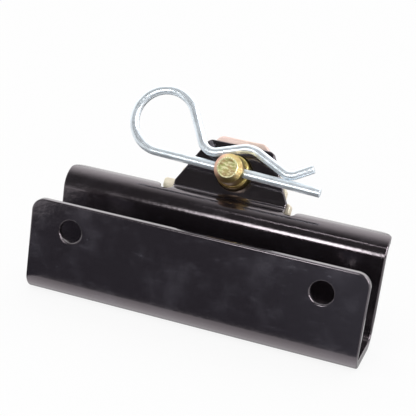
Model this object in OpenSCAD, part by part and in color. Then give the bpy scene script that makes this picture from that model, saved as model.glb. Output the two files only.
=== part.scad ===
// Snowmobile hitch: a bolt-on channel bracket folded from one sheet, with a tongue
// that carries a removable hitch pin held by a spring clip.
// X runs along the channel, Y runs from the front flange to the rear wall, Z is up.
// The origin is midway between the two bolt holes, on the outer face of the front
// flange. The modules are drawn from the channel's underside, and placed() lowers them.

/* [Channel] */
// Length of the channel, end to end
channel_length = 152.4; // [110:0.1:260]
// Thickness of the folded sheet
sheet_t = 3.2; // [2.5:0.1:5]
// Depth of the channel, from the outer face of the flange to the back of the rear wall
channel_depth = 34.8; // [28:0.1:60]
// Outer radius of the two bends along the bottom
bottom_bend_r = 8; // [6:0.1:13]
// Height of the front flange above the underside
flange_h = 43.9; // [36:0.1:70]
// Corner radius of the front flange
flange_corner_r = 6; // [2:0.1:12]
// Height of the top face above the underside
wall_h = 49.9; // [45:0.1:90]
// Outer radius of the bend along the top of the rear wall
top_bend_r = 9.3; // [7:0.1:14]
// Flat length of the top flange behind that bend
top_flat = 2.6; // [1:0.1:20]
// Corner radius of the two wings
wing_corner_r = 5; // [2:0.1:9]

/* [Bolt holes] */
// Distance between the two bolt holes
hole_spacing = 113.7; // [70:0.1:200]
// Diameter of the bolt holes
hole_d = 10.4; // [6:0.1:16]
// Height of the bolt holes above the underside
hole_z = 31.8; // [22:0.1:36]

/* [Tongue] */
// Width of the tongue at its base
tongue_base_w = 53.6; // [44:0.1:80]
// Width of the tongue across its top, before the corners are rounded
tongue_top_w = 30.6; // [22:0.1:40]
// Height of the tongue along its own face
tongue_h = 23; // [20:0.1:50]
// Height of the parallel sides at its base
tongue_foot_h = 1.2; // [0.5:0.1:6]
// Corner radius of the tongue's top
tongue_corner_r = 3; // [1:0.1:6]
// Angle by which the tongue leans back from upright
tongue_lean = 23.1; // [0:0.5:40]
// Inner radius of the bend that lifts the tongue
tongue_bend_r = 2.5; // [1:0.1:5]
// Flat length between that top bend and the bend that lifts the tongue
tongue_set = 0.2; // [0:0.1:0.9]
// Width of the relief notch on each side of the tongue, which has a round bottom
notch_w = 5.2; // [3:0.1:12]
// Depth of the relief notches, cut in from the rear edge
notch_d = 5.2; // [2:0.1:8]
// Radius of the wing corner beside each notch
notch_corner_r = 3; // [0.5:0.1:6]

/* [Hitch pin] */
// Diameter of the pin
pin_d = 13.4; // [8:0.1:14]
// Diameter of the pin's shoulder, which passes through the tongue
shoulder_d = 15.6; // [14.2:0.1:18]
// Height of the pin above the tongue's base, along its face
pin_h = 9.8; // [9:0.1:12]
// Reach of the pin's end in front of the tongue
pin_reach = 14.4; // [12:0.1:30]
// Reach of the shoulder in front of the tongue
shoulder_reach = 4.4; // [1:0.1:5]
// Chamfer around the end of the pin
pin_chamfer = 2.2; // [0.5:0.1:3]
// Chamfer around the front of the shoulder
shoulder_chamfer = 0.8; // [0.2:0.1:1.2]
// Distance from the pin's end to the cross hole
cross_hole_back = 6.9; // [4:0.1:7.5]
// Clearance on diameter between the shoulder and its hole in the tongue
shoulder_play = 0.4; // [0.1:0.05:1]

/* [Back plate] */
// Thickness of the plate behind the tongue
plate_t = 5.8; // [3:0.1:8]
// Reach of the plate's left foot from the pin, along the back of the left wing
foot_left = 32.8; // [28:0.1:40]
// Reach of the plate's right foot from the pin, along the back of the right wing
foot_right = 28.2; // [27:0.1:40]
// Height of the feet above the tongue's base
plate_foot_h = 1.8; // [1:0.1:4]
// Depth of the feet below the tongue's base
plate_drop = 3.4; // [2:0.1:6]
// Width of the plate where its sides start to taper
plate_waist_w = 50; // [40:0.1:53]
// Height above the tongue's base where they do
plate_waist_h = 7; // [4:0.1:12]
// Width of the plate across its top, before the corners are rounded
plate_top_w = 21.5; // [16:0.1:30]
// Height of the plate above the tongue's base
plate_h = 26.1; // [22:0.1:50]
// Corner radius of the plate's top
plate_corner_r = 3; // [1:0.1:6]
// Corner radius of the plate's feet
plate_foot_r = 1.5; // [0.3:0.1:2]
// Sideways offset of the plate from the pin
plate_offset = -0.4; // [-3:0.1:3]

/* [Spring clip] */
// Diameter of the clip's wire
wire_d = 4.2; // [2:0.1:4.5]
// Length of the straight leg from the pin to its free end
leg_reach = 42; // [30:0.5:60]
// Distance from the pin to the middle of the round loop
loop_x = 36.4; // [32:0.1:50]
// Radius of the round loop to the middle of the wire
loop_r = 14.5; // [12:0.05:17]
// Angle at which the sprung leg climbs over the pin
rise_angle = 21; // [15:0.5:26]
// Length of that climb before its point nearest the pin
rise_back = 5.4; // [4:0.1:7]
// Length of that climb after its point nearest the pin
rise_fore = 6; // [4:0.1:8]
// Bend radius where the sprung leg comes down from the loop
dip_r = 6.5; // [5:0.1:8]
// Bend radius of the arch over the pin
arch_r = 10.9; // [9:0.1:13]
// Distance from the pin to the point where the sprung leg meets the straight one
nip_x = 26; // [24:0.1:32]
// Bend radius at that point
nip_r = 6; // [5:0.1:8]
// Angle of the flared tail
tail_angle = 33; // [15:0.5:45]
// Length of the flared tail
tail_l = 8.4; // [4:0.1:16]
// Turn of the clip and its hole about the pin's axis, right end down
clip_turn = 2.1; // [0:0.1:4]
// Clearance on diameter between the wire and the cross hole
wire_play = 0.4; // [0.1:0.05:1]
// Gap between the sprung leg and the pin
grip_gap = 0.1; // [0.05:0.05:2]
// Gap between the two legs where they meet
nip_gap = 0.05; // [0.02:0.01:0.5]

/* [Hidden] */
$fn = 96;
// Gap between the tongue and the plate behind it
seat_gap = 0.15;
// Overshoot of every cutting tool past the face it cuts
over = 1;
// Bite by which joined solids run into each other
bite = 0.2;
// Step by which straight wire is thinner than its bends, so that the ends nest
nest = 0.01;
// Quarter turn between a bend's heading and its radius
quarter = 90;

half_l = channel_length / 2;
wall_front = channel_depth - sheet_t;
bend_y = wall_front + top_bend_r;
rear_y = bend_y + top_flat;
notch_y = rear_y - notch_d;
top_under = wall_h - sheet_t;

// Tongue bend: its centre, and the foot of the tongue's flat face
tb_y = bend_y + tongue_set;
tb_z = wall_h + tongue_bend_r;
tongue_y = tb_y + tongue_bend_r * cos(tongue_lean);
tongue_z = tb_z - tongue_bend_r * sin(tongue_lean);
tongue_out_r = tongue_bend_r + sheet_t;

pin_r = pin_d / 2;
shoulder_r = shoulder_d / 2;
wire_r = wire_d / 2;
tongue_hole_r = (shoulder_d + shoulder_play) / 2;
clip_y = pin_reach - cross_hole_back;
plate_y = sheet_t + seat_gap;

// Centres of the clip's bends, measured from the pin with the straight leg level
rise_q = pin_r + wire_r + grip_gap;
loop_c = [-loop_x, loop_r];
dip_c = [-rise_q * sin(rise_angle) - rise_back * cos(rise_angle) - dip_r * sin(rise_angle),
         rise_q * cos(rise_angle) - rise_back * sin(rise_angle) + dip_r * cos(rise_angle)];
arch_c = [-rise_q * sin(rise_angle) + rise_fore * cos(rise_angle) + arch_r * sin(rise_angle),
          rise_q * cos(rise_angle) + rise_fore * sin(rise_angle) - arch_r * cos(rise_angle)];
nip_c = [nip_x, wire_d + nip_gap + nip_r];

function heading(a, b) = atan2(b[1] - a[1], b[0] - a[0]);
function lean_in(a, b, s) = asin(s / norm(b - a));
drop_h = heading(loop_c, dip_c) - lean_in(loop_c, dip_c, loop_r + dip_r);
fall_h = heading(arch_c, nip_c) - lean_in(arch_c, nip_c, arch_r + nip_r);
function above(c, r, h) = [c[0] - r * sin(h), c[1] + r * cos(h)];
function below(c, r, h) = [c[0] + r * sin(h), c[1] - r * cos(h)];
tail_start = below(nip_c, nip_r, tail_angle);
tail_end = tail_start + tail_l * [cos(tail_angle), sin(tail_angle)];

// Block that squares off a corner, less the round that stays; the round's centre is
// at the local origin and the corner lies toward +X and +Y
module corner_cut(r, len) {
  difference() {
    translate([0, 0, -len / 2]) cube([r + over, r + over, len]);
    cylinder(h = len + 2 * over, r = r, center = true);
  }
}

// Quarter of a sheet bend along X: outer radius r, kept where Y and Z are both of the
// given signs from its centre
module bend(r, sy, sz, len) {
  intersection() {
    rotate([0, 90, 0]) difference() {
      cylinder(h = len, r = r, center = true);
      cylinder(h = len + 2 * over, r = r - sheet_t, center = true);
    }
    translate([-len / 2 - over, sy < 0 ? -r - over : 0, sz < 0 ? -r - over : 0])
      cube([len + 2 * over, r + over, r + over]);
  }
}

module channel_profile() {
  translate([-half_l, 0, bottom_bend_r]) cube([channel_length, sheet_t, flange_h - bottom_bend_r]);
  translate([0, bottom_bend_r, bottom_bend_r]) bend(bottom_bend_r, -1, -1, channel_length);
  translate([-half_l, bottom_bend_r, 0])
    cube([channel_length, channel_depth - 2 * bottom_bend_r, sheet_t]);
  translate([0, channel_depth - bottom_bend_r, bottom_bend_r])
    bend(bottom_bend_r, 1, -1, channel_length);
  translate([-half_l, wall_front, bottom_bend_r])
    cube([channel_length, sheet_t, wall_h - top_bend_r - bottom_bend_r]);
  translate([0, bend_y, wall_h - top_bend_r]) bend(top_bend_r, -1, 1, channel_length);
  translate([-half_l, bend_y, top_under]) cube([channel_length, top_flat, sheet_t]);
}

// Local frame of the tongue: X across, Z up its face, Y into its thickness
module on_tongue() {
  translate([0, tongue_y, tongue_z]) rotate([-tongue_lean, 0, 0]) children();
}

// Outline of a plate with a foot, tapering sides and a rounded top, in X and Z
module tapered(foot_w, top_w, foot_h, h, low, r, t) {
  a = atan((foot_w - top_w) / 2 / (h - foot_h));
  cx = foot_w / 2 - (r + (h - r - foot_h) * sin(a)) / cos(a);
  cz = h - r;
  rotate([90, 0, 0]) translate([0, 0, -t]) linear_extrude(height = t) union() {
    polygon([[-foot_w / 2, -low], [foot_w / 2, -low], [foot_w / 2, foot_h],
             [cx + r * cos(a), cz + r * sin(a)], [cx, h], [-cx, h],
             [-cx - r * cos(a), cz + r * sin(a)], [-foot_w / 2, foot_h]]);
    translate([cx, cz]) circle(r = r);
    translate([-cx, cz]) circle(r = r);
  }
}

module tongue() {
  // bend that turns the top flange up into the tongue
  intersection() {
    translate([0, tb_y, tb_z]) rotate([0, 90, 0]) difference() {
      cylinder(h = tongue_base_w, r = tongue_out_r, center = true);
      cylinder(h = tongue_base_w + 2 * over, r = tongue_bend_r, center = true);
    }
    translate([-tongue_base_w, tb_y, tb_z]) rotate([-tongue_lean, 0, 0]) mirror([0, 0, 1])
      cube([2 * tongue_base_w, 2 * tongue_out_r, 2 * tongue_out_r]);
    translate([-tongue_base_w, tb_y, tb_z - 2 * tongue_out_r])
      cube([2 * tongue_base_w, 2 * tongue_out_r, 4 * tongue_out_r]);
  }
  on_tongue() {
    tapered(tongue_base_w, tongue_top_w, tongue_foot_h, tongue_h, 0, tongue_corner_r, sheet_t);
    // block inside the sheet that joins the bend to the flat
    translate([-tongue_base_w / 2 + nest, nest, -bite])
      cube([tongue_base_w - 2 * nest, sheet_t - 2 * nest, 2 * bite]);
  }
}

module bracket() {
  color([0.1, 0.1, 0.11]) difference() {
    union() {
      difference() {
        channel_profile();
        // relief notches beside the tongue, with the wing corners rounded
        for (s = [-1, 1]) {
          translate([s * (tongue_base_w + notch_w) / 2, notch_y + notch_w / 2, top_under]) {
            cylinder(h = 4 * sheet_t, r = notch_w / 2, center = true);
            translate([-notch_w / 2, 0, -2 * sheet_t])
              cube([notch_w, notch_d + over, 4 * sheet_t]);
          }
          translate([s * (tongue_base_w / 2 + notch_w + notch_corner_r),
                     rear_y - notch_corner_r, top_under])
            mirror([s > 0 ? 1 : 0, 0, 0]) corner_cut(notch_corner_r, 4 * sheet_t);
          // rear corners of the wings
          translate([s * (half_l - wing_corner_r), rear_y - wing_corner_r, top_under])
            mirror([s < 0 ? 1 : 0, 0, 0]) corner_cut(wing_corner_r, 6 * sheet_t);
        }
        translate([-tongue_base_w / 2 - bite, tb_y, top_under - over])
          cube([tongue_base_w + 2 * bite, top_flat + over, 4 * sheet_t]);
      }
      tongue();
    }
    for (s = [-1, 1]) {
      // bolt holes in the front flange
      translate([s * hole_spacing / 2, sheet_t / 2, hole_z]) rotate([90, 0, 0])
        cylinder(h = sheet_t + 2 * over, d = hole_d, center = true);
      // top corners of the front flange
      translate([s * (half_l - flange_corner_r), sheet_t / 2, flange_h - flange_corner_r])
        rotate([90, 0, 0]) mirror([s < 0 ? 1 : 0, 0, 0])
          corner_cut(flange_corner_r, sheet_t + 2 * over);
    }
    on_tongue() translate([0, sheet_t / 2, pin_h]) rotate([90, 0, 0])
      cylinder(h = sheet_t + 2 * over, r = tongue_hole_r, center = true);
  }
}

module on_pin() {
  on_tongue() translate([0, 0, pin_h]) children();
}

module hitch_pin() {
  color([0.78, 0.68, 0.38]) on_pin() difference() {
    rotate([90, 0, 0]) union() {
      translate([0, 0, shoulder_reach - bite])
        cylinder(h = pin_reach - shoulder_reach + bite - pin_chamfer, r = pin_r);
      translate([0, 0, pin_reach - pin_chamfer])
        cylinder(h = pin_chamfer, r1 = pin_r, r2 = pin_r - pin_chamfer);
      translate([0, 0, -plate_y - plate_t])
        cylinder(h = plate_y + plate_t + shoulder_reach - shoulder_chamfer, r = shoulder_r);
      translate([0, 0, shoulder_reach - shoulder_chamfer])
        cylinder(h = shoulder_chamfer, r1 = shoulder_r, r2 = shoulder_r - shoulder_chamfer);
    }
    // cross hole for the clip
    translate([0, -clip_y, 0]) rotate([0, 90 + clip_turn, 0])
      cylinder(h = pin_d + 2 * over, r = (wire_d + wire_play) / 2, center = true);
  }
}

module back_plate() {
  color([0.8, 0.66, 0.36]) on_pin() difference() {
    translate([0, plate_y, -pin_h]) union() {
      translate([plate_offset, 0, 0])
        tapered(plate_waist_w, plate_top_w, plate_waist_h, plate_h, plate_drop,
                plate_corner_r, plate_t);
      // feet that reach along the backs of the wings
      rotate([90, 0, 0]) translate([0, 0, -plate_t]) linear_extrude(height = plate_t) union() {
        foot_w = foot_left + foot_right;
        translate([-foot_left + plate_foot_r, -plate_drop])
          square([foot_w - 2 * plate_foot_r, plate_foot_h + plate_drop]);
        translate([-foot_left, -plate_drop + plate_foot_r])
          square([foot_w, plate_foot_h + plate_drop - 2 * plate_foot_r]);
        for (x = [-foot_left + plate_foot_r, foot_right - plate_foot_r],
             z = [-plate_drop + plate_foot_r, plate_foot_h - plate_foot_r])
          translate([x, z]) circle(r = plate_foot_r);
      }
    }
    translate([0, plate_y + plate_t / 2, 0]) rotate([90, 0, 0])
      cylinder(h = plate_t + 2 * over, r = shoulder_r, center = true);
  }
}

// Straight length of wire between two points of the clip's plane, running a little
// into the bend at its start, and into the one at its end unless that end is free
module wire(a, b, free = false) {
  translate([a[0], a[1], 0]) rotate([0, 0, heading(a, b)]) rotate([0, 90, 0])
    translate([0, 0, -bite])
      cylinder(h = norm(b - a) + bite + (free ? 0 : bite), r = wire_r - nest);
}

// Bend of wire about c from angle a0, turning by sweep
module wire_bend(c, r, a0, sweep) {
  translate([c[0], c[1], 0]) rotate([0, 0, a0]) rotate_extrude(angle = sweep)
    translate([r, 0]) circle(r = wire_r);
}

module spring_clip() {
  color([0.8, 0.83, 0.88]) on_pin() translate([0, -clip_y, 0]) rotate([0, clip_turn, 0])
    rotate([90, 0, 0]) union() {
      wire([-loop_x, 0], [leg_reach, 0], true);
      wire_bend(loop_c, loop_r, quarter + drop_h, 2 * quarter - drop_h);
      wire(above(loop_c, loop_r, drop_h), below(dip_c, dip_r, drop_h));
      wire_bend(dip_c, dip_r, drop_h - quarter, rise_angle - drop_h);
      wire(below(dip_c, dip_r, rise_angle), above(arch_c, arch_r, rise_angle));
      wire_bend(arch_c, arch_r, quarter + fall_h, rise_angle - fall_h);
      wire(above(arch_c, arch_r, fall_h), below(nip_c, nip_r, fall_h));
      wire_bend(nip_c, nip_r, fall_h - quarter, tail_angle - fall_h);
      wire(tail_start, tail_end, true);
    }
}

module placed() {
  translate([0, 0, -hole_z]) children();
}

placed() bracket();
placed() hitch_pin();
placed() back_plate();
placed() spring_clip();
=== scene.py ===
"""Snowmobile hitch: its finished surfaces, its finishes and the studio it is shown in.

Every piece is drawn in metres, in the frame of the packed model: X along the channel,
Y from the front flange to the rear wall, Z up, with the origin midway between the bolt
holes on the flange's outer face.
"""

import math

import bmesh
import bpy
from bpy.props import FloatProperty, FloatVectorProperty, PointerProperty
from mathutils import Matrix, Vector


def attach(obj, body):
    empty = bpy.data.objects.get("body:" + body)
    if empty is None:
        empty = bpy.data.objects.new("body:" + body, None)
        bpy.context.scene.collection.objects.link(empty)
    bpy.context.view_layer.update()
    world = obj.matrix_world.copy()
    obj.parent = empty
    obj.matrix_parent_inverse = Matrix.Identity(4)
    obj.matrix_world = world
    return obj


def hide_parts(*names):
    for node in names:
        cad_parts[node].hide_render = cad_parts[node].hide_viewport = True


bl_info = {
    "name": "Snowmobile hitch",
    "version": (1, 0, 0),
    "blender": (4, 5, 0),
    "location": "3D View > Sidebar > Hitch",
    "description": "Builds the bracket, pin, back plate and spring clip, and the stage",
    "category": "Object",
}

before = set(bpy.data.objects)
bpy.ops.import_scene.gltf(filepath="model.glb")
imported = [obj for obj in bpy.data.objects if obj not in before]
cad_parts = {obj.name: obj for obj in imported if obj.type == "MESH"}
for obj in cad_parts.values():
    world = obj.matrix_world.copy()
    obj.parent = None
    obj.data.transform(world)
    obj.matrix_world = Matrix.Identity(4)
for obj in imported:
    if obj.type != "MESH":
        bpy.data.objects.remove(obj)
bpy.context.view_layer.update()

MM = 0.001
QUARTER = math.pi / 2
SMOOTH_ANGLE = math.radians(35)
TOUCH = 1e-6  # points this close are at one place
MERGE = 2e-6  # points this close are merged after the cuts

# Steps and sides of what is round
BEND_STEPS = 20
CORNER_STEPS = 12
BROAD_CORNER_STEPS = 16
TOOL_SIDES = 96
PIN_SIDES = 128
CROSS_SIDES = 48
WIRE_SIDES = 32
WIRE_STEP = math.radians(3.5)
WIRE_STEPS_LEAST = 8


def length(name, text, mm):
    """A size in the sidebar, kept in metres."""
    return FloatProperty(
        name=name, description=text, default=mm * MM, precision=5, unit="LENGTH"
    )


def turn(name, text, degrees):
    """An angle in the sidebar, kept in radians."""
    return FloatProperty(
        name=name, description=text, default=math.radians(degrees), unit="ROTATION"
    )


def tint(name, text, red, green, blue):
    """A linear colour in the sidebar."""
    return FloatVectorProperty(
        name=name, description=text, default=(red, green, blue), size=3,
        min=0.0, max=1.0, subtype="COLOR",
    )


class HitchSheet(bpy.types.PropertyGroup):
    """Sizes of the bracket, which is folded from one sheet."""

    span: length("Length", "Length of the channel, end to end", 152.4)
    sheet: length("Sheet", "Thickness of the folded sheet", 3.2)
    depth: length("Depth", "Depth of the channel, flange to rear wall", 34.8)
    bottom_r: length("Bottom bends", "Outer radius of the bends along the bottom", 8)
    flange_h: length("Flange", "Height of the front flange", 43.9)
    flange_corner: length("Flange corners", "Corner radius of the front flange", 6)
    wall_h: length("Top", "Height of the top face", 49.9)
    top_r: length("Top bend", "Outer radius of the bend along the top", 9.3)
    top_flat: length("Top flange", "Flat length of the top flange", 2.6)
    wing_corner: length("Wing corners", "Corner radius of the wings", 5)
    hole_gap: length("Bolt spacing", "Distance between the bolt holes", 113.7)
    hole_d: length("Bolt holes", "Diameter of the bolt holes", 10.4)
    hole_z: length("Bolt height", "Height of the bolt holes above the underside", 31.8)
    tongue_base: length("Tongue base", "Width of the tongue at its base", 53.6)
    tongue_top: length("Tongue top", "Width of the tongue across its top", 30.6)
    tongue_h: length("Tongue height", "Height of the tongue along its face", 23)
    tongue_foot: length("Tongue foot", "Height of the straight sides at its base", 1.2)
    tongue_corner: length("Tongue corners", "Corner radius of the tongue's top", 3)
    tongue_bend: length("Tongue bend", "Inner radius of the bend below the tongue", 2.5)
    tongue_set: length("Tongue set", "Flat length between the two upper bends", 0.2)
    lean: turn("Lean", "Angle by which the tongue leans back", 23.1)
    notch_w: length("Notch width", "Width of the relief notches", 5.2)
    notch_d: length("Notch depth", "Depth of the relief notches", 5.2)
    notch_corner: length("Notch corners", "Corner radius of the wings at the notch", 3)
    edge: length("Edge rounding", "Radius of the painted edges", 0.7)


class HitchPin(bpy.types.PropertyGroup):
    """Sizes of the hitch pin and of the plate behind the tongue."""

    pin_d: length("Pin", "Diameter of the pin", 13.4)
    shoulder_d: length("Shoulder", "Diameter of the pin's shoulder", 15.6)
    height: length("Height", "Height of the pin above the tongue's base", 9.8)
    reach: length("Reach", "Reach of the pin's end in front of the tongue", 14.4)
    shoulder_reach: length("Shoulder reach", "Reach of the shoulder in front", 4.4)
    end_chamfer: length("End chamfer", "Chamfer around the end of the pin", 2.2)
    shoulder_chamfer: length("Shoulder chamfer", "Chamfer around the shoulder", 0.8)
    cross_back: length("Cross hole", "Distance from the pin's end to the hole", 6.9)
    play: length("Play", "Clearance on diameter around the shoulder", 0.4)
    plate: length("Plate", "Thickness of the back plate", 5.8)
    seat_gap: length("Seat gap", "Gap between the tongue and the plate", 0.15)
    foot_left: length("Left foot", "Reach of the left foot from the pin", 32.8)
    foot_right: length("Right foot", "Reach of the right foot from the pin", 28.2)
    foot_h: length("Foot height", "Height of the feet above the tongue's base", 1.8)
    drop: length("Drop", "Depth of the feet below the tongue's base", 3.4)
    waist_w: length("Waist", "Width where the plate's sides start to taper", 50)
    waist_h: length("Waist height", "Height where the plate's sides start to taper", 7)
    top_w: length("Plate top", "Width of the plate across its top", 21.5)
    plate_h: length("Plate height", "Height of the plate above the tongue's base", 26.1)
    corner: length("Plate corners", "Corner radius of the plate's top", 3)
    foot_corner: length("Foot corners", "Corner radius of the plate's feet", 1.5)
    offset: length("Plate offset", "Sideways offset of the plate from the pin", -0.4)
    foot_fillet: length("Foot fillets", "Radius between the feet and the sides", 0.6)
    pin_edge: length("Pin edges", "Radius of the pin's edges", 0.3)
    plate_edge: length("Plate edges", "Radius of the plate's edges", 0.5)


class HitchClip(bpy.types.PropertyGroup):
    """Sizes of the bent wire clip, in its own plane, from the middle of the pin."""

    wire: length("Wire", "Diameter of the wire", 4.2)
    leg: length("Straight leg", "Length of the straight leg past the pin", 42)
    loop_x: length("Loop place", "Distance from the pin to the loop's middle", 36.4)
    loop_r: length("Loop", "Radius of the loop to the middle of the wire", 14.5)
    climb: turn("Climb", "Angle at which the sprung leg climbs over the pin", 21)
    climb_back: length("Climb before", "Length of the climb before the pin", 5.4)
    climb_fore: length("Climb after", "Length of the climb after the pin", 6)
    dip_r: length("Dip", "Bend radius below the loop", 6.5)
    arch_r: length("Arch", "Bend radius over the pin", 10.9)
    nip_x: length("Nip place", "Distance from the pin to where the legs meet", 26)
    nip_r: length("Nip", "Bend radius where the legs meet", 6)
    tail: turn("Tail angle", "Angle of the flared tail", 33)
    tail_l: length("Tail", "Length of the flared tail", 8.4)
    tilt: turn("Tilt", "Turn of the clip and its hole, right end down", 2.1)
    play: length("Play", "Clearance on diameter in the cross hole", 0.4)
    grip: length("Grip gap", "Gap between the sprung leg and the pin", 0.1)
    nip_gap: length("Nip gap", "Gap between the legs where they meet", 0.05)
    edge: length("Wire ends", "Radius of the edges at the ends of the wire", 0.35)


class HitchFinish(bpy.types.PropertyGroup):
    """Colours of the finishes and of the floor."""

    paint: tint("Paint", "Black of the powder coat", 0.0095, 0.0078, 0.0092)
    # the haze colour is also the colour of the painted light on the flange's face
    haze_and_painted_light: tint("Haze", "Dusty haze on the powder coat", 0.06, 0.06, 0.074)
    gold: tint("Gold", "Yellow of the zinc", 0.49, 0.345, 0.15)
    green: tint("Green", "Green cast of the zinc", 0.45, 0.51, 0.17)
    rose: tint("Rose", "Pink cast of the zinc", 0.72, 0.42, 0.32)
    olive: tint("Olive", "Dark olive of the zinc on the shoulder", 0.34, 0.29, 0.08)
    # brown also paints the shade on the pin's underside
    brown: tint("Brown", "Stained brown of the zinc", 0.29, 0.18, 0.07)
    # straw also paints the highlight round the edge of the pin's end
    straw: tint("Straw", "Worn, pale spots on the zinc", 0.86, 0.82, 0.5)
    pale: tint("Pale plate", "Pale yellow of the back plate", 0.93, 0.87, 0.68)
    salmon: tint("Salmon plate", "Pink cast of the back plate", 0.99, 0.71, 0.66)
    steel: tint("Steel", "Blue-white of the bright zinc", 0.87, 0.945, 1.0)
    floor: tint("Floor", "White of the floor and backdrop", 0.9, 0.9, 0.9)


GROUPS = {
    "hitch_sheet": HitchSheet,
    "hitch_pin": HitchPin,
    "hitch_clip": HitchClip,
    "hitch_finish": HitchFinish,
}


def bend_end(s):
    """Y at which the bend along the top ends and the top flange begins."""
    return s.depth - s.sheet + s.top_r


def tongue_face(s):
    """Foot of the tongue's front face; local Y runs up the face and Z points out."""
    foot = Vector((
        0,
        bend_end(s) + s.tongue_set + s.tongue_bend * math.cos(s.lean),
        s.wall_h - s.hole_z + s.tongue_bend * (1 - math.sin(s.lean)),
    ))
    return Matrix.Translation(foot) @ Matrix.Rotation(QUARTER - s.lean, 4, "X")


def pinned():
    """Middle of the pin on the tongue's front face; local Z points out along it."""
    s, p = bpy.context.scene.hitch_sheet, bpy.context.scene.hitch_pin
    return tongue_face(s) @ Matrix.Translation((0, p.height, 0))


# Modelling helpers


def added(name):
    """Names the primitive that was just added."""
    obj = bpy.context.active_object
    obj.name = obj.data.name = name
    return obj


def alone():
    """Leaves edit mode and clears the selection."""
    if bpy.context.object and bpy.context.object.mode != "OBJECT":
        bpy.ops.object.mode_set(mode="OBJECT")
    bpy.ops.object.select_all(action="DESELECT")


def only(obj):
    """Selects this object and no other, and makes it the active one."""
    alone()
    obj.select_set(True)
    bpy.context.view_layer.objects.active = obj


def settle(obj):
    """Writes the object's place, turn and scale into its mesh."""
    only(obj)
    bpy.ops.object.transform_apply(location=True, rotation=True, scale=True)
    return obj


def place(obj, matrix):
    """Moves the finished mesh to its place in the model."""
    obj.matrix_world = matrix
    return settle(obj)


def shape(obj, mode):
    """Opens the mesh with nothing selected, in vertex, edge or face mode."""
    only(obj)
    bpy.ops.object.mode_set(mode="EDIT")
    bpy.ops.mesh.select_mode(type=mode)
    bpy.ops.mesh.select_all(action="DESELECT")


def pick(obj, kind, test):
    """Selects the vertices, edges or faces whose points all pass the test."""
    bm = bmesh.from_edit_mesh(obj.data)
    for group in (bm.verts, bm.edges, bm.faces):
        for item in group:
            item.select = False
    found = 0
    for item in getattr(bm, kind):
        points = [item.co] if kind == "verts" else [v.co for v in item.verts]
        if all(test(p) for p in points):
            item.select_set(True)
            found += 1
    if not found:
        raise RuntimeError(f"nothing to select on {obj.name}")
    bmesh.update_edit_mesh(obj.data)


def extrude(x, y, z):
    """Extrudes the selection by a step along each axis."""
    bpy.ops.mesh.extrude_region_move(TRANSFORM_OT_translate={"value": (x, y, z)})


def sweep(angle, centre, axis, steps=BEND_STEPS):
    """Spins the selection about an axis; the operator counts clockwise turns."""
    bpy.ops.mesh.spin(steps=steps, angle=-angle, center=centre, axis=axis)


def round_corner(reach, steps):
    """Rounds the selected corner, from this far along each of its sides."""
    bpy.ops.mesh.bevel(
        offset_type="OFFSET", offset=reach, segments=steps, affect="VERTICES"
    )


def modify(obj, kind, **settings):
    """Adds a modifier and applies it."""
    only(obj)
    modifier = obj.modifiers.new(kind.title(), kind)
    for key, value in settings.items():
        setattr(modifier, key, value)
    bpy.ops.object.modifier_apply(modifier=modifier.name)


def cut(obj, tool):
    """Subtracts a tool from the piece and throws the tool away."""
    modify(obj, "BOOLEAN", operation="DIFFERENCE", object=tool, solver="EXACT")
    bpy.data.objects.remove(tool, do_unlink=True)


def outline(name, corners, steps=CORNER_STEPS):
    """Flat face with the given corners, each (x, y, radius), in the XY plane."""
    alone()
    count = len(corners)
    bpy.ops.mesh.primitive_circle_add(vertices=count, radius=1, fill_type="NGON")
    obj = added(name)
    for vertex, (x, y, _) in zip(obj.data.vertices, corners):
        vertex.co = (x, y, 0)
    shape(obj, "VERT")
    for i, (x, y, radius) in enumerate(corners):
        if not radius:
            continue
        here = Vector((x, y))
        before, after = (
            Vector(corners[j][:2]) - here for j in (i - 1, (i + 1) % count)
        )
        pick(obj, "verts", lambda point: (point.xy - here).length < TOUCH)
        round_corner(radius / math.tan(before.angle(after) / 2), steps)
    bpy.ops.object.mode_set(mode="OBJECT")
    return obj


def thicken(obj, low, high):
    """Turns a flat face into a block from low to high along Z."""
    shape(obj, "FACE")
    bpy.ops.mesh.select_all(action="SELECT")
    bpy.ops.transform.translate(value=(0, 0, low))
    extrude(0, 0, high - low)
    bpy.ops.mesh.select_all(action="SELECT")
    bpy.ops.mesh.remove_doubles(threshold=TOUCH)
    bpy.ops.mesh.normals_make_consistent(inside=False)
    bpy.ops.object.mode_set(mode="OBJECT")
    return obj


def rod(name, radius, low, high, matrix, sides=TOOL_SIDES):
    """Round tool or blank along the local Z of the matrix."""
    alone()
    bpy.ops.mesh.primitive_cylinder_add(
        vertices=sides, radius=radius, depth=high - low,
        location=(0, 0, (low + high) / 2),
    )
    return place(settle(added(name)), matrix)


def clean(obj):
    """Merges doubles, and turns every face outwards."""
    shape(obj, "VERT")
    bpy.ops.mesh.select_all(action="SELECT")
    bpy.ops.mesh.remove_doubles(threshold=MERGE)
    bpy.ops.mesh.dissolve_degenerate(threshold=MERGE)
    bpy.ops.mesh.normals_make_consistent(inside=False)
    alone()
    return obj


def soften(obj, width, steps=4):
    """Rounds the sharp edges and smooths the shading between broad faces."""
    modify(
        obj, "BEVEL", width=width, segments=steps, limit_method="ANGLE",
        angle_limit=SMOOTH_ANGLE, use_clamp_overlap=False, miter_outer="MITER_ARC",
    )
    only(obj)
    bpy.ops.object.shade_smooth_by_angle(angle=SMOOTH_ANGLE)
    modify(obj, "WEIGHTED_NORMAL", mode="FACE_AREA", weight=80, keep_sharp=True)


def finish_piece(obj, body, node, finish):
    """Gives the piece its finish, and lets it stand for its solid on that body."""
    obj.data.materials.clear()
    obj.data.materials.append(finish)
    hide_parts(node)
    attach(obj, body)


# Shader maths


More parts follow.
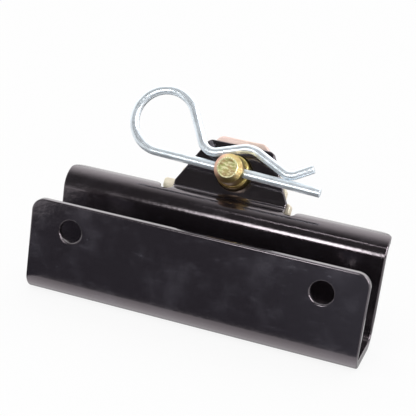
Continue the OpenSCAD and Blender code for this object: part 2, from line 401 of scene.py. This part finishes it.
class Sum:
    """A socket's value: arithmetic on it adds the Math nodes that work it out."""

    def __init__(self, shader, socket):
        self.shader, self.socket = shader, socket

    def _math(self, operation, *values):
        node = self.shader.node(
            "ShaderNodeMath", {"operation": operation}, dict(enumerate(values))
        )
        return node[0]

    def __add__(self, other):
        return self._math("ADD", self, other)

    __radd__ = __add__

    def __sub__(self, other):
        return self._math("SUBTRACT", self, other)

    def __rsub__(self, other):
        return self._math("SUBTRACT", other, self)

    def __mul__(self, other):
        return self._math("MULTIPLY", self, other)

    __rmul__ = __mul__

    def __pow__(self, other):
        return self._math("POWER", self, other)


class Outputs:
    """The outputs of a node, by number or name."""

    def __init__(self, shader, node):
        self.shader, self.item = shader, node

    def __getitem__(self, key):
        return Sum(self.shader, self.item.outputs[key])


class Shader:
    """A node tree under construction."""

    def __init__(self, tree):
        self.tree = tree
        tree.nodes.clear()

    def node(self, kind, settings=None, values=None):
        """Adds a node: settings first, then a value or a link for each socket."""
        item = self.tree.nodes.new(kind)
        for key, value in (settings or {}).items():
            setattr(item, key, value)
        for key, value in (values or {}).items():
            if isinstance(value, Sum):
                self.tree.links.new(value.socket, item.inputs[key])
            else:
                item.inputs[key].default_value = value
        return Outputs(self, item)

    def at(self):
        """Where the point is, in metres."""
        return self.node("ShaderNodeTexCoord")["Object"]

    def split(self, where):
        """The X, Y and Z of a place or direction."""
        return self.node("ShaderNodeSeparateXYZ", {}, {0: where})

    def mix(self, factor, a, b):
        """Mixes two colours."""
        a, b = (value if isinstance(value, Sum) else (*value, 1) for value in (a, b))
        node = self.node(
            "ShaderNodeMix", {"data_type": "RGBA"}, {0: factor, 6: a, 7: b}
        )
        return node[2]

    def noise(self, where, scale, detail=2.0, rough=0.5):
        """Soft random pattern, with so many waves to the metre."""
        node = self.node(
            "ShaderNodeTexNoise", {},
            {"Vector": where, "Scale": scale, "Detail": detail, "Roughness": rough},
        )
        return node[0]

    def stretch(self, where, x=1.0, y=1.0, z=1.0, turned=(0, 0, 0)):
        """The place scaled and turned, which draws a pattern out."""
        node = self.node(
            "ShaderNodeMapping", {},
            {"Vector": where, "Rotation": turned, "Scale": (x, y, z)},
        )
        return node[0]

    def band(self, value, low, high):
        """0 below low, 1 above high, and smooth between."""
        node = self.node(
            "ShaderNodeMapRange", {"interpolation_type": "SMOOTHSTEP"},
            {"Value": value, "From Min": low, "From Max": high},
        )
        return node[0]

    def bump(self, height, strength, distance):
        """Normals for a fine relief."""
        node = self.node(
            "ShaderNodeBump", {},
            {"Height": height, "Strength": strength, "Distance": distance},
        )
        return node[0]


def material(name):
    """A new material and its empty tree."""
    mat = bpy.data.materials.new(name)
    mat.use_nodes = True
    return mat, Shader(mat.node_tree)


def surface(shader, values):
    """Principled surface with the given sockets, joined to the output."""
    body = shader.node("ShaderNodeBsdfPrincipled", {}, values)
    shader.node("ShaderNodeOutputMaterial", {}, {"Surface": body["BSDF"]})


def black_powder_coat(f):
    """Glossy black paint with orange peel, dusty clouds, rubs, specks and scuffs, and
    painted light.
    """
    mat, sh = material("black_powder_coat")
    at = sh.at()
    axes = sh.split(at)
    cloud = sh.band(sh.noise(at, 52, 5, 0.6), 0.46, 0.74)
    leaning = sh.stretch(at, 1, 1, 3.2, (0, 0.6, 0))
    rubs = sh.band(sh.noise(leaning, 110, 6, 0.66), 0.54, 0.76)
    specks = sh.band(sh.noise(at, 900, 1), 0.72, 0.78)
    # painted light lightens the flange's face a little, and most toward its upper
    # right; scuffs are on the face too
    front = 1 - sh.band(axes["Y"], 1 * MM, 3 * MM)
    painted_light_front = sh.band(axes["X"] + axes["Z"] * 0.6, 0, 90 * MM) * 0.2 + 0.07
    slanting = sh.stretch(at, 0.25, 1, 1, (0, -0.5, 0))
    scuffs = sh.band(sh.noise(slanting, 620, 4, 0.6), 0.62, 0.74)
    # this mask mixes in the haze colour: clouds, rubs and specks of dust, scuffs, and
    # the painted light on the flange's face; clouds and rubs are fainter off the face
    dust_and_painted_light = (cloud * 0.26 + rubs * 0.24) * (front * 0.65 + 0.35) + specks * 0.5
    dust_and_painted_light = dust_and_painted_light + (painted_light_front + scuffs * (cloud * 0.5 + 0.15)) * front
    peel = sh.noise(at, 420, 1.5, 0.4) + sh.noise(at, 1500, 1) * 0.15
    surface(sh, {
        "Base Color": sh.mix(dust_and_painted_light, f.paint, f.haze_and_painted_light),
        "Roughness": 0.13 + cloud * 0.08 + rubs * 0.08,
        "IOR": 2.0,
        "Specular Tint": (1, 0.88, 0.94, 1),
        "Normal": sh.bump(peel, 0.15, 0.3 * MM),
    })
    return mat


def yellow_zinc(f):
    """Yellow zinc plating on the turned pin: mottled face, a painted highlight round
    its rim, pink flanks and a painted shade below.
    """
    mat, sh = material("yellow_zinc")
    at = sh.at()
    p = bpy.context.scene.hitch_pin
    seat = pinned()
    # the place in the pin's own axes, with Z along the pin
    local = sh.node("ShaderNodeMapping", {"vector_type": "TEXTURE"}, {
        "Vector": at, "Location": seat.to_translation(), "Rotation": seat.to_euler(),
    })[0]
    axes = sh.split(local)
    radius = (axes["X"] * axes["X"] + axes["Y"] * axes["Y"]) ** 0.5
    rim = p.pin_d / 2 - p.end_chamfer
    face = sh.band(axes["Z"], p.reach - 0.4 * MM, p.reach - 0.1 * MM)
    flank = 1 - face
    middle = 1 - sh.band(radius, 1 * MM, rim)
    # painted highlight round the edge of the pin's end face, mixed in straw and made a
    # little glossier
    painted_rim_highlight = (
        sh.band(radius, rim - 0.7 * MM, rim - 0.1 * MM)
        * (1 - sh.band(radius, rim + 0.1 * MM, rim + 0.5 * MM))
        * sh.band(axes["Z"], p.reach - 0.9 * MM, p.reach - 0.5 * MM)
    )
    collar = sh.band(axes["Z"], -p.plate, 0) * (
        1 - sh.band(axes["Z"], p.shoulder_reach, p.shoulder_reach + 2 * MM))
    # painted shade on the pin's underside, mixed in brown
    under = sh.band(axes["Y"] * -1, 2 * MM, 6.5 * MM) * flank
    left = sh.noise(at, 220, 3) * (8 * MM) - axes["X"] - axes["Y"] * 0.2
    blush = sh.band(left, 3 * MM, 7.5 * MM) * flank
    broad = sh.band(sh.noise(at, 260, 3), 0.42, 0.6)
    turned = sh.stretch(local, 0.35, 1, 1, (0, 0, 0.25))
    spots = sh.band(sh.noise(turned, 1100, 4, 0.65), 0.46, 0.62)
    stain = sh.band(sh.noise(turned, 800, 4, 0.7), 0.44, 0.66) * (
        face * sh.band(radius, 0.8 * MM, rim) * 0.9 + 0.1)
    grain = sh.noise(at, 1900, 3, 0.6)
    base = sh.mix(broad * (0.28 + face * 0.62), f.gold, f.green)
    base = sh.mix(stain, base, f.brown)
    base = sh.mix(spots * (0.2 + face * (middle * 0.6 + 0.2)), base, f.straw)
    base = sh.mix(blush * 0.85, base, f.rose)
    base = sh.mix(collar * 0.7, base, f.olive)
    # the painted shade below the pin
    base = sh.mix(under * 0.75, base, f.brown)
    surface(sh, {
        "Base Color": sh.mix(painted_rim_highlight * 0.85, base, f.straw),
        "Metallic": 0.88 - face * 0.35,
        "Roughness": 0.24 + grain * 0.14 + face * 0.08 - painted_rim_highlight * 0.12,
        "Normal": sh.bump(grain + spots * 0.5, 0.3, 0.2 * MM),
    })
    return mat


def pale_zinc(f):
    """Thin, pale yellow zinc on the back plate, blushing pink along its top."""
    mat, sh = material("pale_zinc")
    at = sh.at()
    patch = sh.band(sh.noise(sh.stretch(at, 1, 0.6, 0.6), 90, 4), 0.36, 0.66)
    level = sh.split(at)["Z"] + sh.noise(at, 60, 3) * (8 * MM)
    high = sh.band(level, 32 * MM, 42 * MM)
    amber = sh.band(sh.noise(at, 75, 5, 0.6), 0.48, 0.72) * (1 - high)
    grain = sh.noise(at, 1300, 3, 0.6)
    base = sh.mix(patch * 0.25 + high * 0.6, f.pale, f.salmon)
    surface(sh, {
        "Base Color": sh.mix(amber * 0.35, base, f.gold),
        "Metallic": 0.25,
        "Roughness": 0.36 + grain * 0.16,
        "Normal": sh.bump(grain, 0.2, 0.2 * MM),
    })
    return mat


def bright_zinc(f):
    """Bright zinc on drawn wire, a little darker in clouds."""
    mat, sh = material("bright_zinc")
    at = sh.at()
    cloud = sh.band(sh.noise(at, 160, 3), 0.35, 0.7)
    grain = sh.noise(at, 2200, 3, 0.6)
    darker = [0.8 * value for value in f.steel]
    surface(sh, {
        "Base Color": sh.mix(cloud, f.steel, darker),
        "Metallic": 0.68,
        "Roughness": 0.24 + grain * 0.16,
        "Normal": sh.bump(grain, 0.12, 0.1 * MM),
    })
    return mat


# Pieces


def fold_channel(s):
    """Folds the underside of the sheet from one plane, with the tongue turned up."""
    flange = s.flange_h - s.bottom_r
    bpy.ops.mesh.primitive_plane_add(
        size=1, location=(0, 0, s.bottom_r + flange / 2), rotation=(QUARTER, 0, 0)
    )
    obj = added("bracket_body")
    obj.scale = (s.span, flange, 1)
    settle(obj)
    shape(obj, "VERT")
    for side in (-1, 1):
        pick(obj, "verts", lambda point: (
            point.z > s.flange_h - TOUCH and point.x * side > s.span / 2 - TOUCH))
        round_corner(s.flange_corner, BROAD_CORNER_STEPS)
    bpy.ops.mesh.select_mode(type="EDGE")
    pick(obj, "edges", lambda point: point.z < s.bottom_r + TOUCH)
    along = (1, 0, 0)
    bend_y, bend_z = bend_end(s), s.wall_h - s.top_r
    sweep(QUARTER, (0, s.bottom_r, s.bottom_r), along)
    extrude(0, s.depth - 2 * s.bottom_r, 0)
    sweep(QUARTER, (0, s.depth - s.bottom_r, s.bottom_r), along)
    extrude(0, 0, bend_z - s.bottom_r)
    sweep(-QUARTER, (0, bend_y, bend_z), along)
    extrude(0, s.tongue_set, 0)
    extrude(0, s.top_flat - s.tongue_set, 0)
    # columns keep the faces short; the two beside the tongue run through its notches
    bpy.ops.mesh.select_mode(type="FACE")
    half = (s.tongue_base + s.notch_w) / 2
    for column in (-s.hole_gap / 2, -half, 0, half, s.hole_gap / 2):
        bpy.ops.mesh.select_all(action="SELECT")
        bpy.ops.mesh.bisect(plane_co=(column, 0, 0), plane_no=along)
    # between these two the top flange gives way to the tongue, which is trimmed later
    root = bend_y + s.tongue_set
    rise = s.tongue_h + 2 * MM
    pick(obj, "faces", lambda point: (
        point.y > root - TOUCH and abs(point.x) < half + TOUCH))
    bpy.ops.mesh.delete(type="FACE")
    bpy.ops.mesh.select_mode(type="EDGE")
    pick(obj, "edges", lambda point: (
        abs(point.y - root) < TOUCH and abs(point.x) < half + TOUCH))
    sweep(QUARTER - s.lean, (0, root, s.wall_h + s.tongue_bend), along)
    extrude(0, rise * math.sin(s.lean), rise * math.cos(s.lean))
    alone()
    return obj


def stamp(obj, name, corners, low, high, steps=CORNER_STEPS, matrix=Matrix.Identity(4)):
    """Cuts an outline through the piece, from low to high along the matrix's Z."""
    tool = thicken(outline(name, corners, steps), low, high)
    cut(obj, clean(place(tool, matrix)))


def trim_channel(obj, s):
    """Cuts the relief notches beside the tongue and the wings' rear corners."""
    far = 6 * MM  # how far the tools reach past the sheet
    above = 3 * MM  # how far the notches' tool rises beside the tongue
    flat = 0.05 * MM  # left straight between two arcs
    hair = 0.001 * MM  # left straight where an arc ends on a corner
    top = s.wall_h - s.hole_z
    rear = bend_end(s) + s.top_flat
    deep = rear - s.notch_d
    inner = s.tongue_base / 2
    outer = inner + s.notch_w
    wing = outer + s.notch_corner
    end = s.span / 2
    start = end - s.wing_corner
    before = rear - s.wing_corner
    notch_corners = (
        (inner, rear + far, 0),
        (inner, deep, s.notch_w / 2 - flat),
        (outer, deep, s.notch_d - s.notch_corner - flat),
        (outer, rear, s.notch_corner - hair),
        (wing, rear, 0),
        (wing, rear + far, 0),
    )
    wing_corners = (
        (start, rear, 0),
        (end, rear, s.wing_corner - hair),
        (end, before, 0),
        (end + far, before, 0),
        (end + far, rear + far, 0),
        (start, rear + far, 0),
    )
    for side in (-1, 1):
        corners = [(side * x, y, radius) for x, y, radius in notch_corners]
        stamp(obj, "notch_tool", corners, top - 2 * far, top + above)
        corners = [(side * x, y, radius) for x, y, radius in wing_corners]
        stamp(obj, "wing_tool", corners, top - 2 * far, top + far, BROAD_CORNER_STEPS)


def trim_tongue(obj, s):
    """Cuts the tongue's tapering sides and its top."""
    far = 6 * MM  # how far the tool reaches past the sheet
    sink = -0.8 * MM  # where the tool begins, in the bend below the tongue's foot
    half = s.tongue_base / 2
    right = [
        (s.tongue_top / 2, s.tongue_h, s.tongue_corner),
        (half, s.tongue_foot, 0),
        (half, sink, 0),
        (half + far, sink, 0),
        (half + far, s.tongue_h + far, 0),
    ]
    corners = right + [(-x, y, radius) for x, y, radius in reversed(right)]
    stamp(obj, "tongue_tool", corners, -s.sheet - far, far, matrix=tongue_face(s))


class HITCH_OT_bracket(bpy.types.Operator):
    """Fold the bracket from one sheet, cut its outline and holes and round its edges"""

    bl_idname = "hitch.bracket"
    bl_label = "Bracket"

    def execute(self, context):
        scene = context.scene
        s, p = scene.hitch_sheet, scene.hitch_pin
        alone()
        obj = fold_channel(s)
        modify(obj, "SOLIDIFY", thickness=s.sheet, offset=-1, use_even_offset=True)
        place(obj, Matrix.Translation((0, 0, -s.hole_z)))
        trim_channel(obj, s)
        trim_tongue(obj, s)
        for side in (-1, 1):
            hole = Matrix.Translation((side * s.hole_gap / 2, 0, 0))
            hole = hole @ Matrix.Rotation(QUARTER, 4, "X")
            cut(obj, rod("bolt_tool", s.hole_d / 2, -2 * s.sheet, s.sheet, hole))
        bore = (p.shoulder_d + p.play) / 2
        cut(obj, rod("pin_tool", bore, -2 * s.sheet, s.sheet, pinned()))
        soften(clean(obj), s.edge)
        finish_piece(
            obj, "bracket", "bracket",
            black_powder_coat(scene.hitch_finish),
        )
        return {"FINISHED"}


def step_out(level, rise, growth=1):
    """Extrudes the end face along Z, scales it, and returns its new level."""
    extrude(0, 0, rise)
    bpy.ops.transform.resize(value=(growth, growth, 1))
    return level + rise


class HITCH_OT_pin(bpy.types.Operator):
    """Turn the hitch pin with its shoulder, chamfers and cross hole"""

    bl_idname = "hitch.pin"
    bl_label = "Hitch pin"

    def execute(self, context):
        scene = context.scene
        s, p, c = scene.hitch_sheet, scene.hitch_pin, scene.hitch_clip
        shoulder, pin = p.shoulder_d / 2, p.pin_d / 2
        neck = shoulder - p.shoulder_chamfer
        low = -(s.sheet + p.seat_gap + p.plate)
        high = p.shoulder_reach - p.shoulder_chamfer
        obj = rod("hitch_pin_body", shoulder, low, high, Matrix.Identity(4), PIN_SIDES)
        shape(obj, "FACE")
        pick(obj, "faces", lambda point: point.z > high - TOUCH)
        level = step_out(high, p.shoulder_chamfer, neck / shoulder)
        bpy.ops.mesh.inset(thickness=neck - pin)
        level = step_out(level, p.reach - p.end_chamfer - level)
        step_out(level, p.end_chamfer, (pin - p.end_chamfer) / pin)
        alone()
        across = (
            Matrix.Rotation(-c.tilt, 4, "Z")
            @ Matrix.Translation((0, 0, p.reach - p.cross_back))
            @ Matrix.Rotation(QUARTER, 4, "Y")
        )
        bore = (c.wire + c.play) / 2
        cut(obj, rod("cross_tool", bore, -2 * pin, 2 * pin, across, CROSS_SIDES))
        soften(clean(obj), p.pin_edge, steps=3)
        place(obj, pinned())
        finish_piece(
            obj, "pin", "hitch_pin", yellow_zinc(scene.hitch_finish)
        )
        return {"FINISHED"}


class HITCH_OT_plate(bpy.types.Operator):
    """Cut the back plate with its feet and tapering sides, and round its edges"""

    bl_idname = "hitch.plate"
    bl_label = "Back plate"

    def execute(self, context):
        scene = context.scene
        s, p = scene.hitch_sheet, scene.hitch_pin
        right, left = ([
            (foot, -p.drop, p.foot_corner),
            (foot, p.foot_h, p.foot_corner),
            (p.waist_w / 2 + shift, p.foot_h, p.foot_fillet),
            (p.waist_w / 2 + shift, p.waist_h, 0),
            (p.top_w / 2 + shift, p.plate_h, p.corner),
        ] for foot, shift in ((p.foot_right, p.offset), (p.foot_left, -p.offset)))
        corners = right + [(-x, y, radius) for x, y, radius in reversed(left)]
        corners = [(x, y - p.height, radius) for x, y, radius in corners]
        front = -(s.sheet + p.seat_gap)
        obj = thicken(outline("back_plate_body", corners), front - p.plate, front)
        # the hole clears the pin's rear end by a hair, so that no faces coincide
        seat = p.shoulder_d / 2 + 0.02 * MM
        cut(obj, rod(
            "seat_tool", seat, 2 * front - p.plate, 0, Matrix.Identity(4), PIN_SIDES
        ))
        soften(clean(obj), p.plate_edge)
        place(obj, pinned())
        finish_piece(
            obj, "pin", "back_plate", pale_zinc(scene.hitch_finish)
        )
        return {"FINISHED"}


def bend_path(c, pin_r):
    """The clip's bends, each (centre, radius, heading in, heading out)."""
    q = pin_r + c.wire / 2 + c.grip
    sin, cos = math.sin(c.climb), math.cos(c.climb)
    loop = Vector((-c.loop_x, c.loop_r))
    dip = Vector((-q * sin - c.climb_back * cos - c.dip_r * sin,
                  q * cos - c.climb_back * sin + c.dip_r * cos))
    arch = Vector((-q * sin + c.climb_fore * cos + c.arch_r * sin,
                   q * cos + c.climb_fore * sin - c.arch_r * cos))
    nip = Vector((c.nip_x, c.wire + c.nip_gap + c.nip_r))

    def tangent(a, b, radii):
        run = b - a
        return math.atan2(run.y, run.x) - math.asin(radii / run.length)

    drop = tangent(loop, dip, c.loop_r + c.dip_r)
    fall = tangent(arch, nip, c.arch_r + c.nip_r)
    return [
        (loop, c.loop_r, math.pi, drop),
        (dip, c.dip_r, drop, c.climb),
        (arch, c.arch_r, c.climb, fall),
        (nip, c.nip_r, fall, c.tail),
    ]


class HITCH_OT_clip(bpy.types.Operator):
    """Bend the spring clip from one length of wire"""

    bl_idname = "hitch.clip"
    bl_label = "Spring clip"

    def execute(self, context):
        scene = context.scene
        p, c = scene.hitch_pin, scene.hitch_clip
        alone()
        bpy.ops.mesh.primitive_circle_add(
            vertices=WIRE_SIDES, radius=c.wire / 2,
            location=(c.leg, 0, 0), rotation=(0, QUARTER, 0),
        )
        obj = settle(added("spring_clip_wire"))
        shape(obj, "EDGE")
        bpy.ops.mesh.select_all(action="SELECT")
        here = Vector((c.leg, 0))
        for centre, radius, first, last in bend_path(c, p.pin_d / 2):
            # the loop and the arch turn clockwise, the dip and the nip the other way
            arm = radius if last < first else -radius
            start, end = (
                centre + arm * Vector((-math.sin(heading), math.cos(heading)))
                for heading in (first, last)
            )
            extrude(*(start - here), 0)
            steps = max(WIRE_STEPS_LEAST, round(abs(last - first) / WIRE_STEP))
            sweep(last - first, (*centre, 0), (0, 0, 1), steps)
            here = end
        extrude(c.tail_l * math.cos(c.tail), c.tail_l * math.sin(c.tail), 0)
        bpy.ops.mesh.select_all(action="DESELECT")
        bpy.ops.mesh.select_non_manifold()
        bpy.ops.mesh.edge_face_add()
        soften(clean(obj), c.edge, steps=3)
        seat = pinned() @ Matrix.Translation((0, 0, p.reach - p.cross_back))
        place(obj, seat @ Matrix.Rotation(-c.tilt, 4, "Z"))
        finish_piece(
            obj, "clip", "spring_clip", bright_zinc(scene.hitch_finish)
        )
        return {"FINISHED"}


# Stage


def stage_white(f):
    """White floor: plain to the camera, and grey in shadow.

    Glossy rays see painted light on it before and behind the channel, and a painted
    shadow under it.
    """
    mat, sh = material("stage_white")
    ray = sh.node("ShaderNodeLightPath")
    glossy = ray["Is Glossy Ray"]
    along = sh.split(sh.at())["Y"]
    # painted light before and behind the channel and a painted shadow under it, seen
    # only by glossy rays
    before = sh.band(along, -9 * MM, 0.5 * MM) * 0.42
    under = sh.band(along, 2.2 * MM, 5.2 * MM) * 0.87
    behind = sh.band(along, 30 * MM, 40 * MM) * 0.45
    plain = sh.node("ShaderNodeEmission", {}, {
        "Color": (before - under + behind) * glossy + 1.0, "Strength": 1.0,
    })
    diffuse = sh.node("ShaderNodeBsdfDiffuse", {}, {"Color": (*f.floor, 1)})
    blend = sh.node("ShaderNodeMixShader", {}, {
        0: ray["Is Camera Ray"] * 0.88 + glossy,
        1: diffuse["BSDF"], 2: plain["Emission"],
    })
    sh.node("ShaderNodeOutputMaterial", {}, {"Surface": blend["Shader"]})
    return mat


def facing(spot):
    """Turn of a card at the spot that faces the hitch."""
    return spot.to_track_quat("Z", "Y").to_euler()


def card(name, cover, size, colour, strength, location, rotation):
    """Glowing card that only glossy rays see.

    The cover gives how solid it is, from the card's own X and Y in metres.
    """
    mat, sh = material(name)
    at = sh.split(sh.at())
    glow = sh.node(
        "ShaderNodeEmission", {}, {"Color": (*colour, 1), "Strength": strength}
    )
    clear = sh.node("ShaderNodeBsdfTransparent")
    both = sh.node("ShaderNodeMixShader", {}, {
        0: cover(sh, at["X"] * size[0], at["Y"] * size[1]),
        1: clear["BSDF"], 2: glow["Emission"],
    })
    sh.node("ShaderNodeOutputMaterial", {}, {"Surface": both["Shader"]})
    bpy.ops.mesh.primitive_plane_add(size=1, location=location, rotation=rotation)
    obj = added(name)
    obj.scale = (*size, 1)
    obj.data.materials.append(mat)
    obj.visible_camera = obj.visible_diffuse = obj.visible_shadow = False


def flag_cover(sh, x, y):
    """Open under the channel, past both its ends, and far in front at the right."""
    reach = y * -1 + sh.band(x * -1, 0.078, 0.084) * 0.035
    cover = sh.band(reach, 0.01, 0.021) + sh.band(y, 0.055, 0.07)
    far = sh.band(y * -1, 0.22, 0.36)
    cover = cover * (sh.band(x, -0.138, -0.116) + far) * (1 - sh.band(x, 0.082, 0.1))
    return cover * (1 - far * sh.band(x, -0.2, -0.08))


def window_cover(sh, x, y):
    """Solid at the right, and fading slowly to the left and upwards."""
    across = sh.band(x, -0.15, 0.1) * (1 - sh.band(x, 0.18, 0.25))
    return across * sh.band(y, -0.25, -0.19) * (1 - sh.band(y, 0.09, 0.25))


def strip_cover(sh, x, y):
    """Soft at both ends."""
    return sh.band(x, -0.11, -0.04) * (1 - sh.band(x, 0.1, 0.15))


def pane_cover(sh, x, y):
    """Soft on every side."""
    across = sh.band(x, -0.09, -0.04) * (1 - sh.band(x, 0.04, 0.09))
    return across * sh.band(y, -0.45, -0.35) * (1 - sh.band(y, 0.35, 0.45))


def lamp(name, location, target, size, watts):
    """Soft area lamp that faces the target, and that glossy rays don't see."""
    bpy.ops.object.light_add(type="AREA", location=location)
    obj = added(name)
    obj.data.shape = "RECTANGLE"
    obj.data.size, obj.data.size_y = size
    obj.data.energy = watts
    aim = Vector(target) - Vector(location)
    obj.rotation_euler = aim.to_track_quat("-Z", "Y").to_euler()
    obj.visible_glossy = False


def studio_world(scene):
    """White all round, but glossy rays see it darker in front and brighter behind."""
    world = bpy.data.worlds.new("studio")
    world.use_nodes = True
    scene.world = world
    sh = Shader(world.node_tree)
    aim = sh.split(sh.node("ShaderNodeTexCoord")["Generated"])
    ahead = aim["Y"] * -0.94 + aim["Z"] * 0.34
    dark = sh.band(ahead, 0.1, 0.75) * 0.93
    bright = sh.band(aim["Y"], -0.1, 0.65) * sh.band(aim["Z"], 0.05, 0.32) * 0.95
    glossy = sh.node("ShaderNodeLightPath")["Is Glossy Ray"]
    room = sh.node("ShaderNodeBackground", {}, {
        "Color": (bright - dark) * glossy + 1.0, "Strength": 1.0,
    })
    sh.node("ShaderNodeOutputWorld", {}, {"Surface": room["Background"]})


# The photograph's camera: angles in degrees, lengths in millimetres
CAMERA_AZIMUTH, CAMERA_ELEVATION, CAMERA_ROLL = 16.37, 17.23, 7.88
CAMERA_AWAY = 473.85
CAMERA_TARGET_X, CAMERA_TARGET_UP = 3.81, 56.67
CAMERA_LENS = 98.565


def photo_camera(s):
    """Camera at the photograph's viewing angle, aimed above the underside."""
    azimuth, elevation, roll = map(
        math.radians, (CAMERA_AZIMUTH, CAMERA_ELEVATION, CAMERA_ROLL)
    )
    toward = Vector((
        math.sin(azimuth) * math.cos(elevation),
        -math.cos(azimuth) * math.cos(elevation),
        math.sin(elevation),
    ))
    target = Vector((CAMERA_TARGET_X * MM, 0, CAMERA_TARGET_UP * MM - s.hole_z))
    level = toward.to_track_quat("Z", "Y").to_matrix().to_4x4()
    camera = bpy.data.cameras.new("photo_camera")
    camera.lens = CAMERA_LENS
    camera.clip_start = 0.01
    obj = bpy.data.objects.new("photo_camera", camera)
    bpy.context.collection.objects.link(obj)
    obj.matrix_world = (
        Matrix.Translation(target + toward * CAMERA_AWAY * MM)
        @ level @ Matrix.Rotation(roll, 4, "Z")
    )
    bpy.context.scene.camera = obj


class HITCH_OT_stage(bpy.types.Operator):
    """Set up the white floor, the cards, the soft lamp, the world and the camera"""

    bl_idname = "hitch.stage"
    bl_label = "Stage"

    def execute(self, context):
        scene = context.scene
        ground = -scene.hitch_sheet.hole_z
        photo_camera(scene.hitch_sheet)
        alone()
        # the floor lies a hair below the channel, and the dark flag just above it
        bpy.ops.mesh.primitive_plane_add(size=6, location=(0, 0, ground - 0.05 * MM))
        floor = settle(added("stage_floor"))
        floor.data.materials.append(stage_white(scene.hitch_finish))
        card(
            "flag_front", flag_cover, size=(1.2, 2.0), colour=(0.055, 0.055, 0.072),
            strength=1.0, location=(0, 0, ground + 0.2 * MM), rotation=(0, 0, 0),
        )
        card(
            "window_front", window_cover, size=(0.5, 0.5), colour=(0.99, 1, 1),
            strength=13.0, location=(-0.29, -1.15, 0.18), rotation=(QUARTER, 0, 0),
        )
        card(
            "strip_top", strip_cover, size=(0.3, 0.035), colour=(1, 0.97, 1),
            strength=7.5, location=(-0.15, -0.554, 0.823),
            rotation=(math.radians(36), 0, 0),
        )
        spot = Vector((0.75, -0.43, 0.5))
        card(
            "pane_right", pane_cover, size=(0.2, 0.9), colour=(1, 0.98, 1),
            strength=34.0, location=spot, rotation=facing(spot),
        )
        lamp(
            "lamp_front", location=(-0.25, -1.15, 0.24), target=(0.03, 0.03, 0.01),
            size=(0.3, 0.2), watts=3,
        )
        studio_world(scene)
        scene.view_settings.view_transform = "Standard"
        return {"FINISHED"}


PIECES = (HITCH_OT_bracket, HITCH_OT_pin, HITCH_OT_plate, HITCH_OT_clip, HITCH_OT_stage)


class HITCH_PT_panel(bpy.types.Panel):
    """Lists the pieces of the hitch, with their sizes and colours"""

    bl_label = "Hitch"
    bl_idname = "HITCH_PT_panel"
    bl_space_type = "VIEW_3D"
    bl_region_type = "UI"
    bl_category = "Hitch"

    def draw(self, context):
        for operator in PIECES:
            self.layout.operator(operator.bl_idname)
        for name, group in GROUPS.items():
            box = self.layout.box()
            box.label(text=group.__doc__)
            for prop in group.__annotations__:
                box.prop(getattr(context.scene, name), prop)


def register():
    for group in GROUPS.values():
        bpy.utils.register_class(group)
    for name, group in GROUPS.items():
        setattr(bpy.types.Scene, name, PointerProperty(type=group))
    for cls in (*PIECES, HITCH_PT_panel):
        bpy.utils.register_class(cls)


def unregister():
    for cls in (HITCH_PT_panel, *reversed(PIECES)):
        bpy.utils.unregister_class(cls)
    for name in GROUPS:
        delattr(bpy.types.Scene, name)
    for group in reversed(GROUPS.values()):
        bpy.utils.unregister_class(group)


def main():
    register()
    for operator in PIECES:
        family, name = operator.bl_idname.split(".")
        getattr(getattr(bpy.ops, family), name)()


if __name__ == "__main__":
    main()
